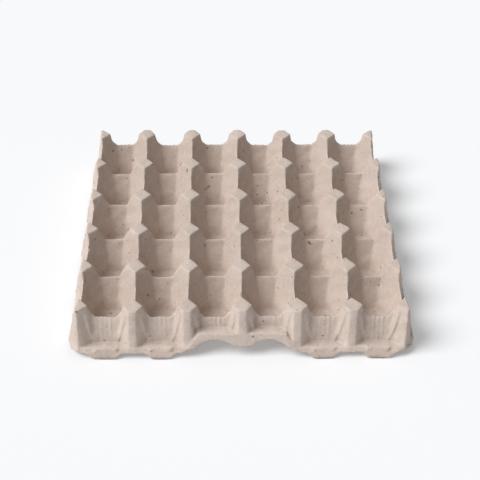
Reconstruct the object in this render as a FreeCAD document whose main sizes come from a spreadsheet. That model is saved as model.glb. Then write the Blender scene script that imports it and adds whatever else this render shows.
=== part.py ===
import FreeCAD, Part
import os
import Sketcher

# Moulded pulp tray with six cups across and five deep, made as one thin sheet.
# X runs along the six cups, -Y is the front, Z is up.
# The origin is the middle of the footprint, on the table.
# The sheet is the space between two forms: the one that its upper face follows,
# and the same form drawn in by the wall, which its underside follows.

COLUMNS = 6
ROWS = 5

# All in millimetres.
SIZES = {
    "pitch_x": 45.7,          # cup to cup, across
    "pitch_y": 52.0,          # cup to cup, deep
    "height": 45.0,           # flat caps of the posts, above the table
    "wall": 2.0,              # thickness of the pulp
    "saddle_height": 32.0,    # low stretch of the crest between two cups
    "cup_floor_x": 12.5,      # half the cup's floor, across
    "cup_floor_y": 15.0,      # half the cup's floor, deep
    "cup_floor_flat": 7.0,    # half the straight stretch of the floor's sides
    "cap_x": 8.6,             # half the cap's diagonal, across
    "cap_y": 9.8,             # half the cap's diagonal, deep
    "rim_margin_x": 10.9,     # outer posts' line to the rim's foot, at the sides
    "rim_margin_y": 18.0,     # outer posts' line to the rim's foot, front and back
    "rim_height": 10.0,       # top of the rim
    "rim_flare": 2.8,         # how far the rim leans out below its top
    "corner_radius": 15.0,    # rim's corners, seen from above
    "lip_width": 2.0,         # flat top of the rim
    "trough_floor": 5.5,      # bottom of the trough between rim and cups
    "curtain_foot_x": 2.6,    # cups' outer wall, how far its foot stands out, sides
    "curtain_foot_y": 8.5,    # the same, front and back
    "rib_half": 3.2,          # half the width of a rib's front
    "rib_top_x": 1.5,         # cap's reach beyond the posts' line, sides
    "rib_top_y": 7.5,         # the same, front and back
    "rib_bend": 3.0,          # crease on a rib's flank, in from the flank's back edge
    "rib_spread": 14.0,       # half the width of a rib's foot
    "rib_tie": 0.5,           # how far a rib's foot runs into the top of the rim
    "corner_bevel": 8.0,      # bevel on the foot of a corner post
    "cap_bevel": 1.5,         # bevel on the cap of a corner post
    "raised_rim": 23.0,       # top of the rim in front of the two middle cups
    "raised_floor": 20.5,     # bottom of the trough there
    "raised_slope": 8.7,      # run of the slope at each end of the raised rim
    "notch_half": 33.0,       # half the width of the finger notch at its top
    "notch_height": 11.0,     # height of the notch at its middle leg
    "arch_half": 14.5,        # half the width of each arch above the notch
    "arch_height": 17.5,      # top of each arch
    "notch_foot": 50.0,       # half its width where its sloping ends meet the outer gaps
    "gap_height": 5.4,        # gap under the rim between two lobes
    "gap_top": 9.0,           # half the gap's width at its top
    "gap_foot": 14.0,         # half the gap's width on the table
    "corner_gap": 17.0,       # gap under a corner of the rim, in from its outer face
}

doc = FreeCAD.newDocument("pulp_tray")
sheet = doc.addObject("Spreadsheet::Sheet", "Sizes")
for line, (alias, value) in enumerate(SIZES.items(), start=1):
    sheet.set(f"A{line}", alias)
    sheet.set(f"B{line}", str(value))
    sheet.setAlias(f"B{line}", alias)
doc.recompute()

# Expressions that several outlines share; S marks a cell of the sheet.
S = "Sizes."
POST_X = f"({COLUMNS / 2} * {S}pitch_x)"
POST_Y = f"({ROWS / 2} * {S}pitch_y)"
BELOW = f"(-{S}wall)"
ABOVE = f"({S}height + {S}wall)"


def outline(name, level, corners):
    """A closed outline of straight lines at a level; each corner is two expressions."""
    sketch = doc.addObject("Sketcher::SketchObject", name)
    sketch.setExpression("Placement.Base.z", level)
    points = [[float(sketch.evalExpression(text)) for text in corner] for corner in corners]
    for start, end in zip(points, points[1:] + points[:1]):
        sketch.addGeometry(Part.LineSegment(FreeCAD.Vector(*start), FreeCAD.Vector(*end)), False)
    count = len(corners)
    for side in range(count):
        sketch.addConstraint(Sketcher.Constraint("Coincident", side, 2, (side + 1) % count, 1))
    for side, corner in enumerate(corners):
        for kind, text, value in zip(("DistanceX", "DistanceY"), corner, points[side]):
            dimension = sketch.addConstraint(Sketcher.Constraint(kind, -1, 1, side, 1, value))
            sketch.setExpression(f"Constraints[{dimension}]", text)
    return sketch


def loft(name, section, low, high):
    """A solid with flat or ruled sides between one section's outlines at two levels."""
    solid = doc.addObject("Part::Loft", name)
    solid.Sections = [outline(f"{name}_low", low, section(low)),
                      outline(f"{name}_high", high, section(high))]
    solid.Solid = True
    solid.Ruled = True
    return solid


def copies(original, places, turned=False):
    """Copies of a solid, each at a pair of expressions, or also turned half round."""
    made = []
    for number, (x, y) in enumerate(places, start=1):
        copy = doc.addObject("App::Link", f"{original.Name}_{'back' if turned else 'at'}_{number}")
        copy.LinkedObject = original
        copy.LinkTransform = True
        if turned:
            copy.Placement.Rotation = FreeCAD.Rotation(FreeCAD.Vector(0, 0, 1), 180)
        copy.setExpression("Placement.Base.x", x)
        copy.setExpression("Placement.Base.y", y)
        made.append(copy)
    return made


def fuse(name, pieces):
    solid = doc.addObject("Part::MultiFuse", name)
    solid.Shapes = pieces
    solid.Refine = False
    return solid


def cut(name, base, tool):
    solid = doc.addObject("Part::Cut", name)
    solid.Base = base
    solid.Tool = tool
    solid.Refine = False
    return solid


def group(name, pieces):
    compound = doc.addObject("Part::Compound", name)
    compound.Links = pieces
    return compound


def between(level, low, low_value, high, high_value):
    """Expression for a size that changes evenly from one level to another."""
    return f"({low_value} + ({high_value} - {low_value}) * ({level} - {low}) / ({high} - {low}))"


def rectangle(half_x, half_y):
    return [(f"-{half_x}", f"-{half_y}"), (half_x, f"-{half_y}"),
            (half_x, half_y), (f"-{half_x}", half_y)]


def rim_half(axis, level, inset):
    """Half the rim's outer size at a level; its face leans on above the rim's own top."""
    post = POST_X if axis == "x" else POST_Y
    return f"({post} + {S}rim_margin_{axis} - {S}rim_flare * {level} / {S}rim_height - {inset})"


def rounded_rectangle(half_x, half_y, radius):
    """A rectangle whose corners are quarter circles in three chords."""
    corners = []
    for sign_x, sign_y, angles in ((1, 1, (0, 30, 60, 90)), (-1, 1, (90, 60, 30, 0)),
                                   (-1, -1, (0, 30, 60, 90)), (1, -1, (90, 60, 30, 0))):
        for angle in angles:
            corners.append((f"{sign_x} * ({half_x} - {radius} * (1 - cos({angle} deg)))",
                            f"{sign_y} * ({half_y} - {radius} * (1 - sin({angle} deg)))"))
    return corners


def cup_section(level, grown):
    """Eight-sided section of a cup. Its short sides run along the caps' edges."""
    tall = f"({level} - {S}wall) / ({S}saddle_height - {S}wall)"
    half_x = f"({S}cup_floor_x + ({S}pitch_x / 2 - {S}cup_floor_x) * {tall} + {grown})"
    half_y = f"({S}cup_floor_y + ({S}pitch_y / 2 - {S}cup_floor_y) * {tall} + {grown})"
    floor_reach = f"({S}cup_floor_x / {S}cap_x + {S}cup_floor_flat / {S}cap_y)"
    cap_reach = f"({S}pitch_x / 2 / {S}cap_x + {S}pitch_y / 2 / {S}cap_y - 1)"
    growth = f"{grown} * sqrt(1 / {S}cap_x ^ 2 + 1 / {S}cap_y ^ 2)"
    reach = f"({between(level, S + 'wall', floor_reach, S + 'height', cap_reach)} + {growth})"
    flat_y = f"({S}cap_y * ({reach} - {half_x} / {S}cap_x))"
    flat_x = f"({S}cap_x * ({reach} - {half_y} / {S}cap_y))"
    return [(half_x, f"-{flat_y}"), (half_x, flat_y), (flat_x, half_y), (f"-{flat_x}", half_y),
            (f"-{half_x}", flat_y), (f"-{half_x}", f"-{flat_y}"),
            (f"-{flat_x}", f"-{half_y}"), (flat_x, f"-{half_y}")]


def curtain_reach(axis, level):
    """How far the cups' outer wall stands out from the posts' line at a level."""
    return between(level, S + "saddle_height", "0", S + "trough_floor", S + f"curtain_foot_{axis}")


def rib_foot(axis):
    """A rib's foot runs a little into the rim."""
    lean = f"{S}rim_flare * {S}trough_floor / {S}rim_height"
    return f"({S}rim_margin_{axis} - {lean} - {S}lip_width + {S}rib_tie)"


def rib_corners(axis, level, inset):
    """One flank of a rib, from back to front: pairs of along the edge and outward."""
    cap = S + ("cap_y" if axis == "x" else "cap_x")

    def at(top, foot):
        return f"({between(level, S + 'trough_floor', foot, S + 'height', top)} - {inset})"

    crease = (f"({S}rib_spread - {S}rib_bend)",
              f"({S}curtain_foot_{axis} + ({rib_foot(axis)} - {S}curtain_foot_{axis}) * 0.2)")
    return [(at(cap, S + "rib_spread"), f"(-{cap})"),
            (at(cap, S + "rib_spread"), f"({curtain_reach(axis, level)} - {inset})"),
            (at(cap, crease[0]), at("0", crease[1])),
            (at(S + "rib_half", S + "rib_half"), at(S + f"rib_top_{axis}", rib_foot(axis)))]


def rib_section(axis, level, inset):
    """A rib and its cap: outward is -Y on the front's ribs and -X on a side's."""
    flank = rib_corners(axis, level, inset)
    corners = [(along, f"-{out}") for along, out in flank]
    corners += [(f"-{along}", f"-{out}") for along, out in reversed(flank)]
    return corners if axis == "y" else [(y, x) for x, y in corners]


def corner_section(level, inset):
    """The front left corner post: two half ribs that meet in a bevelled corner."""
    front = [(along, f"-{out}") for along, out in rib_corners("y", level, inset)]
    side = [(f"-{out}", along) for along, out in rib_corners("x", level, inset)]
    out_x = side[-1][0]
    out_y = front[-1][1]
    bevel = between(level, S + "trough_floor", S + "corner_bevel", S + "height", S + "cap_bevel")
    return [front[1], front[2], (f"({out_x} + {bevel})", out_y), (out_x, f"({out_y} + {bevel})"),
            side[2], side[1], (f"{S}cap_x", f"{S}cap_y")]


def pulp_form(name, inset, low, high):
    """The solid under one face of the sheet, drawn in by an inset."""
    def made(piece, section, bottom, top):
        return loft(f"{name}_{piece}", section, bottom, top)

    def rim(level):
        radius = f"({S}corner_radius - {inset})"
        return rounded_rectangle(rim_half("x", level, inset), rim_half("y", level, inset), radius)

    def trough(level):
        lip = f"{S}lip_width"
        radius = f"({S}corner_radius - {S}lip_width)"
        return rounded_rectangle(rim_half("x", level, lip), rim_half("y", level, lip), radius)

    def raised_half(level, margin):
        slope = between(level, S + "rim_height", "0", S + "raised_rim", S + "raised_slope")
        return f"({S}pitch_x - {slope} - {margin})"

    def raised(level):
        return rectangle(raised_half(level, inset), rim_half("y", level, inset))

    def raised_trough(level):
        lip = f"{S}lip_width"
        return rectangle(raised_half(level, lip), rim_half("y", level, lip))

    def curtain(level):
        return rectangle(f"({POST_X} + {curtain_reach('x', level)} - {inset})",
                         f"({POST_Y} + {curtain_reach('y', level)} - {inset})")

    if inset == "0":
        rim_top, raised_top = S + "rim_height", S + "raised_rim"
        outer = cut(f"{name}_rim_trough", made("rim", rim, low, rim_top),
                    made("trough", trough, S + "trough_floor", rim_top + " + 1"))
        middle = cut(f"{name}_raised_trough", made("raised", raised, low, raised_top),
                     made("high_trough", raised_trough, S + "raised_floor", raised_top + " + 1"))
    else:
        outer = made("rim", rim, low, f"({S}trough_floor - {inset})")
        middle = made("raised", raised, low, f"({S}raised_floor - {inset})")

    front_rib = made("front_rib", lambda level: rib_section("y", level, inset), low, high)
    side_rib = made("side_rib", lambda level: rib_section("x", level, inset), low, high)
    corner = made("corner", lambda level: corner_section(level, inset), low, high)
    across = [f"{column - COLUMNS / 2} * {S}pitch_x" for column in range(1, COLUMNS)]
    deep = [f"{row - ROWS / 2} * {S}pitch_y" for row in range(1, ROWS)]
    ribs = copies(front_rib, [(x, f"-{POST_Y}") for x in across])
    ribs += copies(front_rib, [(x, POST_Y) for x in across], turned=True)
    ribs += copies(side_rib, [(f"-{POST_X}", y) for y in deep])
    ribs += copies(side_rib, [(POST_X, y) for y in deep], turned=True)

    mirrored = doc.addObject("Part::Mirroring", f"{name}_corner_mirrored")
    mirrored.Source = corner
    mirrored.Normal = FreeCAD.Vector(1, 0, 0)
    corners = copies(corner, [(f"-{POST_X}", f"-{POST_Y}")])
    corners += copies(corner, [(POST_X, POST_Y)], turned=True)
    corners += copies(mirrored, [(POST_X, f"-{POST_Y}")])
    corners += copies(mirrored, [(f"-{POST_X}", POST_Y)], turned=True)

    body = fuse(f"{name}_body", [outer, middle, made("curtain", curtain, low, high)]
                + ribs + corners)
    cup = made("cup", lambda level: cup_section(level, inset),
               S + "wall" if inset == "0" else low, ABOVE)
    places = [(f"{column - (COLUMNS - 1) / 2} * {S}pitch_x", f"{row - (ROWS - 1) / 2} * {S}pitch_y")
              for row in range(ROWS) for column in range(COLUMNS)]
    return cut(name, body, group(f"{name}_cups", copies(cup, places)))


def rim_openings():
    """What is open under the rim: finger notches, arches and the gaps between lobes."""
    depth = f"({S}rim_margin_y - {S}curtain_foot_y + {S}wall)"
    inner_y = f"({POST_Y} + {S}curtain_foot_y)"
    pieces = []
    for side, start in (("front", f"-({inner_y} + {depth})"), ("back", inner_y)):
        notch = doc.addObject("Part::Box", f"{side}_low_notch")
        notch.setExpression("Length", f"2 * {S}pitch_x")
        notch.setExpression("Width", depth)
        notch.setExpression("Height", f"{S}gap_height + {S}wall + 1")
        notch.setExpression("Placement.Base.x", f"-{S}pitch_x")
        notch.setExpression("Placement.Base.y", start)
        notch.setExpression("Placement.Base.z", BELOW)
        pieces.append(notch)
        rise = f"({S}arch_height - {S}notch_height)"
        radius = f"(({S}arch_half ^ 2 + {rise} ^ 2) / (2 * {rise}))"
        for place, sign in (("left", -1), ("right", 1)):
            arch = doc.addObject("Part::Cylinder", f"{side}_{place}_arch")
            arch.Placement.Rotation = FreeCAD.Rotation(FreeCAD.Vector(1, 0, 0), -90)
            arch.setExpression("Radius", radius)
            arch.setExpression("Height", depth)
            arch.setExpression("Placement.Base.x", f"{sign} * {S}pitch_x / 2")
            arch.setExpression("Placement.Base.y", start)
            arch.setExpression("Placement.Base.z", f"{S}arch_height - {radius}")
            pieces.append(arch)

    def gap(level, half_out):
        half = between(level, "0", S + "gap_foot", S + "gap_height", S + "gap_top")
        return half, half_out

    def notch_top(level):
        half = between(level, S + "gap_height", S + "notch_foot",
                       S + "notch_height", S + "notch_half")
        return rectangle(half, f"({depth} / 2)")

    def front_gap(level):
        return rectangle(*gap(level, f"({depth} / 2)"))

    def side_gap(level):
        return rectangle(*reversed(gap(level, f"({S}rim_margin_x / 2)")))

    def corner_gap(level):
        lean = between(level, "0", f"({S}gap_foot - {S}gap_top)", S + "gap_height", "0")
        half = f"({S}corner_gap + {lean})"
        return rectangle(half, half)

    high = S + "gap_height"
    front_y = f"({inner_y} + {depth} / 2)"
    side_x = f"({POST_X} + {S}curtain_foot_x + {S}rim_margin_x / 2)"
    across = [f"{column - COLUMNS / 2} * {S}pitch_x" for column in range(1, COLUMNS)
              if column != COLUMNS // 2]
    deep = [f"{row - ROWS / 2} * {S}pitch_y" for row in range(1, ROWS)]
    pieces += copies(loft("front_gap", front_gap, BELOW, high),
                     [(x, f"{sign} * {front_y}") for x in across for sign in (-1, 1)])
    pieces += copies(loft("notch_top", notch_top, f"({S}gap_height - 1)", S + "notch_height"),
                     [("0", f"{sign} * {front_y}") for sign in (-1, 1)])
    pieces += copies(loft("side_gap", side_gap, BELOW, high),
                     [(f"{sign} * {side_x}", y) for y in deep for sign in (-1, 1)])
    corners = [(f"{sx} * {rim_half('x', '0', '0')}", f"{sy} * {rim_half('y', '0', '0')}")
               for sx in (-1, 1) for sy in (-1, 1)]
    pieces += copies(loft("corner_gap", corner_gap, BELOW, high), corners)
    return group("rim_openings", pieces)


upper = pulp_form("upper_face", "0", "0", S + "height")
under = pulp_form("underside", S + "wall", BELOW, f"({S}height - {S}wall)")
shell = cut("shell", upper, under)
tray = cut("tray", shell, rim_openings())
tray.Label = "tray"
doc.recompute()

for item in doc.Objects:
    if "Invalid" in item.State or "Error" in item.State:
        raise RuntimeError(f"{item.Name} did not build: {item.State}")
if tray.Shape.isNull() or not tray.Shape.isValid():
    raise RuntimeError("the tray's shape is not valid")

os.makedirs("parts", exist_ok=True)
tray.Shape.exportStep(f"parts/{tray.Label}.step")
spans = [max(values) - min(values) for values in zip(*(v.Point for v in tray.Shape.Vertexes))]
print("tray {:.1f} x {:.1f} x {:.1f} mm,".format(*spans),
      f"{len(tray.Shape.Solids)} solid, {tray.Shape.Volume / 1000:.1f} cm3")
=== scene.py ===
"""Looks of the moulded pulp tray: a soft-edged sheet over the CAD solid, with floor, light and camera."""

import math

import bpy
import numpy as np
from mathutils import Matrix


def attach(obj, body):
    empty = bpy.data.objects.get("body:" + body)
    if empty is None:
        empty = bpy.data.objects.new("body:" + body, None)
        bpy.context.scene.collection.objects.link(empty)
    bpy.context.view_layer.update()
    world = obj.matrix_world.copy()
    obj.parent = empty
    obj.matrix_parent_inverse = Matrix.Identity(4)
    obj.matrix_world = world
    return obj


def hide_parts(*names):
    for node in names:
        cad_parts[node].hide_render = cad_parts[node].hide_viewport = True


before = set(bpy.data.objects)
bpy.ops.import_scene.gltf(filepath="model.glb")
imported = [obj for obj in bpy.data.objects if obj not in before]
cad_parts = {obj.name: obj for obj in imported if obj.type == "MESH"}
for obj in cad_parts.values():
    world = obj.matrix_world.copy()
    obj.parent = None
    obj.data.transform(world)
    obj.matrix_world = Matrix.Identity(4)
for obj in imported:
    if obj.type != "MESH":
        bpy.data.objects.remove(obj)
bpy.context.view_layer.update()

# Sizes in millimetres, equal to the CAD model's.
MM = 0.001
COLUMNS, ROWS = 6, 5
PITCH = np.array([45.7, 52.0])
HEIGHT = 45.0
TROUGH_FLOOR = 5.5
RAISED_FLOOR = 20.5
FLOOR_HALF = np.array([12.5, 15.0])
FLOOR_FLAT = 7.0
CAP_HALF = np.array([8.6, 9.8])
POST_LINE = np.array([COLUMNS / 2, ROWS / 2]) * PITCH
CORNER_SCALE = 6.46  # makes a distance of the sum that describes the floor's slanting corners

FLUTE_PITCH = 3.8
FLUTE_DEPTH = 0.22
FLUTE_RIPPLE = (0.2, 0.4)  # on the saddles, sides and front
RIB_HALF = 3.2
CREASE_START, CREASE_SPREAD = 4.9, 9.1  # from the rib's middle: at the cap, and gained down to the trough
CREASE_SLOPE = 1.8
CREASE_RISE, CREASE_SINK = 0.9, 1.5
SKIRT = ((6, 8), (12.5, 14))  # where the rim's outer wall begins beyond the posts, sides and front
LOBE_CURVE = 1.5

# The mesh: size of the first even grid, and the triangles that stay.
FINE_VOXEL = 0.8
VOXEL = FINE_VOXEL
TRIANGLES = 190000

# The pulp's colours, the painted shade for hollows, and how far off a face has to be, in metres, for that
# painted shade to darken a hollow.
DARK_CLOUD, LIGHT_CLOUD = (0.535, 0.435, 0.372, 1), (0.615, 0.513, 0.450, 1)
PALE_MOTTLE = (0.700, 0.605, 0.545, 1)
DARK_FIBRE = (0.330, 0.270, 0.215, 1)
BROWN_SPECK = (0.185, 0.110, 0.070, 1)
PAINTED_HOLLOW_SHADE = (0.270, 0.205, 0.165, 1)
PAINTED_SHADE_REACH = 0.016

# The stage, light and camera, in metres and degrees.
FLOOR_EXTENT = 3.0
FLOOR_DROP = 0.0003
KEY_TOWARDS = (-0.62, -0.20, 0.76)
CAMERA_AT = (-0.0230, -0.7923, 0.6412)
YAW_PITCH_ROLL = (1.726, 38.517, 0.930)
SENSOR = 36
FOCAL_PIXELS, WIDTH_PIXELS = 1073.4, 480


def ramp(value, low, high):
    """0 below low, 1 above high, and smooth between them."""
    share = np.clip((value - low) / (high - low), 0, 1)
    return share * share * (3 - 2 * share)


def hump(value, half):
    """1 at 0, falling smoothly to 0 at half on both sides."""
    return 1 - ramp(np.abs(value), 0, half)


def soft_noise(points, wavelength, seed, waves=9):
    """Smooth noise between about -1 and 1, as a sum of plane waves."""
    random = np.random.RandomState(seed)
    total = np.zeros(len(points))
    for _ in range(waves):
        direction = random.normal(size=3)
        direction /= np.linalg.norm(direction)
        turns = 2 * math.pi / (wavelength * random.uniform(0.7, 1.6))
        total += np.sin(points @ direction * turns + random.uniform(0, 2 * math.pi))
    return total / math.sqrt(waves)


class Fine:
    """The fine mesh's points in millimetres, with what moves them."""

    def __init__(self, mesh):
        self.mesh = mesh
        flat = np.empty(len(mesh.vertices) * 3, np.float32)
        mesh.vertices.foreach_get("co", flat)
        self.points = flat.reshape(-1, 3).astype(float) / MM
        ends = np.empty(len(mesh.edges) * 2, np.int32)
        mesh.edges.foreach_get("vertices", ends)
        self.ends = ends.reshape(-1, 2)
        self.neighbours = np.bincount(ends, minlength=len(self.points))[:, None]

    def soften(self, amount, rounds):
        """Each round moves a point towards the middle of its neighbours; a coarse mesh takes fewer."""
        first, second = self.ends.T
        count = len(self.points)
        for _ in range(math.ceil(rounds * (FINE_VOXEL / VOXEL) ** 2)):
            middle = np.empty_like(self.points)
            for axis in range(3):
                value = self.points[:, axis]
                middle[:, axis] = (np.bincount(first, value[second], count)
                                   + np.bincount(second, value[first], count))
            middle /= self.neighbours
            self.points += (middle - self.points) * amount[:, None]

    def write(self):
        self.mesh.vertices.foreach_set("co", (self.points * MM).astype(np.float32).ravel())
        self.mesh.update()

    def outward(self):
        """Directions out of the sheet's upper face; the underside takes the same ones."""
        self.write()
        flat = np.empty(len(self.points) * 3, np.float32)
        self.mesh.vertex_normals.foreach_get("vector", flat)
        normals = flat.reshape(-1, 3).astype(float)
        return normals * np.where(normals[:, 2:] < -0.02, -1, 1)


def places(points):
    """Each point's offset from its cup's middle and from the nearest posts' lines."""
    plan = points[:, :2] / PITCH
    half = np.array([COLUMNS, ROWS]) / 2
    cups = np.clip(np.floor(plan + half), 0, [COLUMNS - 1, ROWS - 1]) + 0.5 - half
    lines = np.clip(np.round(plan + half), 0, [COLUMNS, ROWS]) - half
    return (plan - cups) * PITCH, (plan - lines) * PITCH


def shape_sheet(fine):
    """Rounds the edges as wet pulp does, and adds flutes, creases and slight unevenness."""
    from_cup, from_line = places(fine.points)
    height = fine.points[:, 2]
    reach = np.abs(from_cup)

    past_corner = ((reach / CAP_HALF).sum(1)
                   - FLOOR_HALF[0] / CAP_HALF[0] - FLOOR_FLAT / CAP_HALF[1]) * CORNER_SCALE
    edge_of_floor = np.maximum(np.max(reach - FLOOR_HALF, axis=1), past_corner)
    beyond = np.abs(fine.points[:, :2]) - POST_LINE
    inside = np.all(beyond < 1, axis=1)
    floor_corner = inside * hump(edge_of_floor, 7) * (1 - ramp(height, 5, 9))
    caps = ramp(height, HEIGHT - 6, HEIGHT - 4)

    fine.soften(np.full(len(height), 0.45), 2)
    fine.soften(0.5 * floor_corner, 18)
    fine.soften(0.5 * caps, 2)

    lift_crests(fine, from_line, beyond)
    add_flutes(fine, from_cup, beyond)
    add_creases(fine, from_line, beyond)
    round_lobes(fine, from_cup, beyond)
    roughen(fine)


def lift_crests(fine, from_line, beyond):
    """Puts back the height that rounding takes from the sharp crests."""
    height = fine.points[:, 2]
    off = np.abs(from_line) + 20 * np.maximum(0, beyond[:, ::-1])
    crest = hump(off.min(axis=1), 3.2)
    fine.points[:, 2] += 1.2 * crest * ramp(height, 20, 27) * (1 - ramp(height, 37, 42))


def add_flutes(fine, from_cup, beyond):
    """Fine upright flutes down the middle of each outer pocket, which ripple its saddle."""
    uneven = 0.7 + 0.5 * soft_noise(fine.points * (1, 1, 0.2), 9, 21)
    for along, out in ((0, 1), (1, 0)):
        wave = uneven * np.cos(2 * math.pi * from_cup[:, along] / FLUTE_PITCH)
        strip = 1 - ramp(np.abs(from_cup[:, along]), 5, 8)
        wall = (ramp(beyond[:, out], -2.5, 0.5) * ramp(fine.points[:, 2], 6, 10)
                * (1 - ramp(beyond[:, out], 8.5, 9.5)))
        fine.points[:, out] += FLUTE_DEPTH * wave * strip * wall * np.sign(fine.points[:, out])
        saddle = hump(beyond[:, out], 3) * ramp(fine.points[:, 2], 22, 28)
        fine.points[:, 2] += FLUTE_RIPPLE[out] * wave * strip * saddle


def add_creases(fine, from_line, beyond):
    """A slanting step down each flank of a rib: the flank sinks towards it, and it faces outward."""
    height = fine.points[:, 2]
    down = np.clip((HEIGHT - height) / (HEIGHT - TROUGH_FLOOR), 0, 1)
    course = CREASE_START + CREASE_SPREAD * down ** 1.5
    for along, out in ((0, 1), (1, 0)):
        off = np.abs(from_line[:, along]) - course
        past = ramp(off, -CREASE_SLOPE, CREASE_SLOPE)
        sunk = np.clip(1 + off / (course - RIB_HALF), 0, 1) * (1 - past)
        raised = past * (1 - ramp(off, 0, 6))
        stretch = ramp(height, 6, 9) * (1 - ramp(height, 38, 42)) * ramp(beyond[:, out], 0.5, 2.5)
        if out == 1:
            middle = np.abs(fine.points[:, 0]) < PITCH[0]
            flank = ramp(height, RAISED_FLOOR, RAISED_FLOOR + 3) * (beyond[:, 1] < 9.2)
            stretch = np.where(middle, stretch * flank, stretch)
        step = (CREASE_RISE * raised - CREASE_SINK * sunk) * stretch
        fine.points[:, out] += step * np.sign(fine.points[:, out])


def round_lobes(fine, from_cup, beyond):
    """Curves the lower edge of the rim's lobes up towards their ends."""
    height = fine.points[:, 2]
    for along, out in ((0, 1), (1, 0)):
        skirt = ramp(beyond[:, out], *SKIRT[out])
        ends = ramp(np.abs(from_cup[:, along]), 3, 11)
        fine.points[:, 2] += LOBE_CURVE * skirt * ends * (1 - ramp(height, 0, 5))


def roughen(fine):
    """The slight unevenness of a sheet that dried in a warm oven."""
    normals = fine.outward()
    points = fine.points.copy()
    free = ramp(points[:, 2], 1, 8)
    fine.points += normals * (0.16 * free * soft_noise(points, 11, 3))[:, None]
    for axis, seed in ((0, 11), (1, 12), (2, 13)):
        share = free if axis == 2 else 1
        fine.points[:, axis] += 0.3 * share * soft_noise(points, 55, seed)
    low = points[:, 2] < 3
    lowest = np.percentile(fine.points[low, 2], 0.5)
    settle = (1 - ramp(fine.points[:, 2], 0, 4)) * max(lowest, 0)
    fine.points[:, 2] = np.maximum(fine.points[:, 2] - settle, 0)


def evaluated(obj):
    graph = bpy.context.evaluated_depsgraph_get()
    return bpy.data.meshes.new_from_object(obj.evaluated_get(graph))


def temporary(name, mesh):
    obj = bpy.data.objects.new(name, mesh)
    bpy.context.scene.collection.objects.link(obj)
    return obj


def pulp_sheet():
    """The whole tray as one closed sheet with rounded edges."""
    rough = temporary("rough_sheet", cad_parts["tray"].data.copy())
    remesh = rough.modifiers.new("Even grid", "REMESH")
    remesh.mode = "VOXEL"
    remesh.voxel_size = VOXEL * MM
    fine = Fine(evaluated(rough))
    shape_sheet(fine)
    fine.write()
    dense = temporary("dense_sheet", fine.mesh)
    thin = dense.modifiers.new("Fewer triangles", "DECIMATE")
    thin.ratio = TRIANGLES / (2 * len(fine.mesh.polygons))
    mesh = evaluated(dense)
    for obj in (rough, dense):
        bpy.data.objects.remove(obj)
    mesh.polygons.foreach_set("use_smooth", np.ones(len(mesh.polygons), bool))
    mesh.name = "pulp_sheet"
    return temporary("pulp_sheet", mesh)


def node(tree, kind, **values):
    made = tree.nodes.new(kind)
    for name, value in values.items():
        if hasattr(made, name):
            setattr(made, name, value)
        else:
            made.inputs[name.replace("_", " ")].default_value = value
    return made


def pulp_material():
    """Grey-beige recycled pulp: cloudy colour, fibres, small brown specks, painted shade in hollows and a
    matte, felted surface.
    """
    material = bpy.data.materials.new("grey_pulp")
    material.use_nodes = True
    tree = material.node_tree
    link = tree.links.new
    shader = tree.nodes["Principled BSDF"]
    shader.inputs["Roughness"].default_value = 0.93
    shader.inputs["Specular IOR Level"].default_value = 0.25
    place = node(tree, "ShaderNodeTexCoord").outputs["Object"]

    def noise(scale, detail, stretch=(1, 1, 1)):
        mapping = node(tree, "ShaderNodeMapping")
        mapping.inputs["Scale"].default_value = stretch
        link(place, mapping.inputs["Vector"])
        made = node(tree, "ShaderNodeTexNoise", Scale=scale, Detail=detail, Roughness=0.6)
        link(mapping.outputs["Vector"], made.inputs["Vector"])
        return made.outputs["Fac"]

    def mapped(value, low, high, to_low, to_high):
        made = node(tree, "ShaderNodeMapRange")
        for name, number in (("From Min", low), ("From Max", high),
                             ("To Min", to_low), ("To Max", to_high)):
            made.inputs[name].default_value = number
        link(value, made.inputs["Value"])
        return made.outputs["Result"]

    def mixed(factor, first, second):
        made = node(tree, "ShaderNodeMix", data_type="RGBA")
        for socket, value in (("A", first), ("B", second)):
            target = [s for s in made.inputs if s.name == socket and s.type == "RGBA"][0]
            if isinstance(value, tuple):
                target.default_value = value
            else:
                link(value, target)
        link(factor, made.inputs["Factor"])
        return [s for s in made.outputs if s.type == "RGBA"][0]

    clouds = mapped(noise(28, 3), 0.32, 0.68, 0, 1)
    colour = mixed(clouds, DARK_CLOUD, LIGHT_CLOUD)
    mottle = mapped(noise(420, 4), 0.35, 0.70, 0, 0.55)
    colour = mixed(mottle, colour, PALE_MOTTLE)
    fibres = mapped(noise(900, 2, (1, 0.25, 0.6)), 0.62, 0.74, 0, 0.35)
    colour = mixed(fibres, colour, DARK_FIBRE)
    specks = mapped(noise(230, 1), 0.735, 0.765, 0, 0.8)
    colour = mixed(specks, colour, BROWN_SPECK)
    # Painted shade: where ambient occlusion finds faces close by, in pocket feet, cup floors and under
    # lips, the base colour darkens towards the painted hollow shade.
    hollow = node(tree, "ShaderNodeAmbientOcclusion", samples=8, Distance=PAINTED_SHADE_REACH)
    shade = mapped(hollow.outputs["AO"], 0.15, 0.85, 0.85, 0)
    colour = mixed(shade, colour, PAINTED_HOLLOW_SHADE)
    link(colour, shader.inputs["Base Color"])

    normal = None
    for scale, detail, stretch, distance in ((130, 3, (1, 1, 1), 0.00055),
                                             (700, 5, (1, 0.55, 0.8), 0.00035),
                                             (1900, 3, (1, 1, 1), 0.00012)):
        bump = node(tree, "ShaderNodeBump", Strength=0.75, Distance=distance)
        link(noise(scale, detail, stretch), bump.inputs["Height"])
        if normal is not None:
            link(normal, bump.inputs["Normal"])
        normal = bump.outputs["Normal"]
    link(normal, shader.inputs["Normal"])
    return material


def build_tray():
    tray = pulp_sheet()
    tray.data.materials.clear()
    tray.data.materials.append(pulp_material())
    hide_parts("tray")
    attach(tray, "root")


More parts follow.
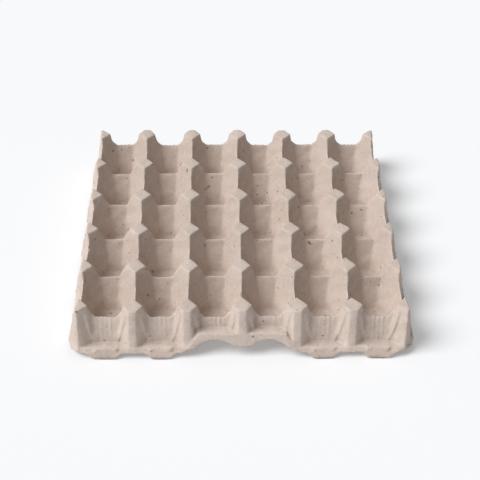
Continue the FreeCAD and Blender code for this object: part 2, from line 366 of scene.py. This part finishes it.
def build_floor():
    half = FLOOR_EXTENT
    mesh = bpy.data.meshes.new("floor")
    mesh.from_pydata([(-half, -half, 0), (half, -half, 0), (half, half, 0), (-half, half, 0)],
                     [], [(0, 1, 2, 3)])
    floor = bpy.data.objects.new("floor", mesh)
    floor.location.z = -FLOOR_DROP
    bpy.context.scene.collection.objects.link(floor)
    material = bpy.data.materials.new("pale_floor")
    material.use_nodes = True
    tree = material.node_tree
    shader = tree.nodes["Principled BSDF"]
    shader.inputs["Base Color"].default_value = (0.92, 0.93, 0.945, 1)
    shader.inputs["Roughness"].default_value = 0.9
    shader.inputs["Specular IOR Level"].default_value = 0.1
    glow = node(tree, "ShaderNodeEmission", Color=(0.96, 0.965, 0.97, 1), Strength=1.0)
    mix = node(tree, "ShaderNodeMixShader", Fac=0.25)
    tree.links.new(shader.outputs["BSDF"], mix.inputs[1])
    tree.links.new(glow.outputs["Emission"], mix.inputs[2])
    tree.links.new(mix.outputs["Shader"], tree.nodes["Material Output"].inputs["Surface"])
    mesh.materials.append(material)


def build_light():
    """A wide soft key from the upper left, over an even pale surround."""
    key = bpy.data.lights.new("key", "SUN")
    key.energy = 3.1
    key.angle = math.radians(35)
    lamp = bpy.data.objects.new("key", key)
    back = np.array(KEY_TOWARDS) / np.linalg.norm(KEY_TOWARDS)
    side = np.cross((0, 0, 1), back)
    side /= np.linalg.norm(side)
    lamp.matrix_world = Matrix([[*row, 0] for row in np.stack([side, np.cross(back, side), back], 1)]
                               + [[0, 0, 0, 1]])
    bpy.context.scene.collection.objects.link(lamp)
    world = bpy.data.worlds.new("surround")
    world.use_nodes = True
    world.node_tree.nodes["Background"].inputs["Color"].default_value = (0.98, 0.99, 1, 1)
    world.node_tree.nodes["Background"].inputs["Strength"].default_value = 0.27
    bpy.context.scene.world = world


def build_camera():
    """The photograph's viewpoint, fitted to the caps and the front rim."""
    yaw, pitch, roll = (math.radians(angle) for angle in YAW_PITCH_ROLL)
    forward = np.array([math.sin(yaw) * math.cos(pitch), math.cos(yaw) * math.cos(pitch),
                        -math.sin(pitch)])
    right = np.array([math.cos(yaw), -math.sin(yaw), 0])
    up = np.cross(right, forward)
    level = math.cos(roll) * right + math.sin(roll) * up
    upright = math.cos(roll) * up - math.sin(roll) * right
    camera = bpy.data.cameras.new("camera")
    camera.sensor_width = SENSOR
    camera.lens = FOCAL_PIXELS / WIDTH_PIXELS * SENSOR
    holder = bpy.data.objects.new("camera", camera)
    rows = np.column_stack([level, upright, -forward, CAMERA_AT])
    holder.matrix_world = Matrix([*rows.tolist(), [0, 0, 0, 1]])
    bpy.context.scene.collection.objects.link(holder)
    bpy.context.scene.camera = holder


build_tray()
build_floor()
build_light()
build_camera()
bpy.context.scene.view_settings.view_transform = "Standard"
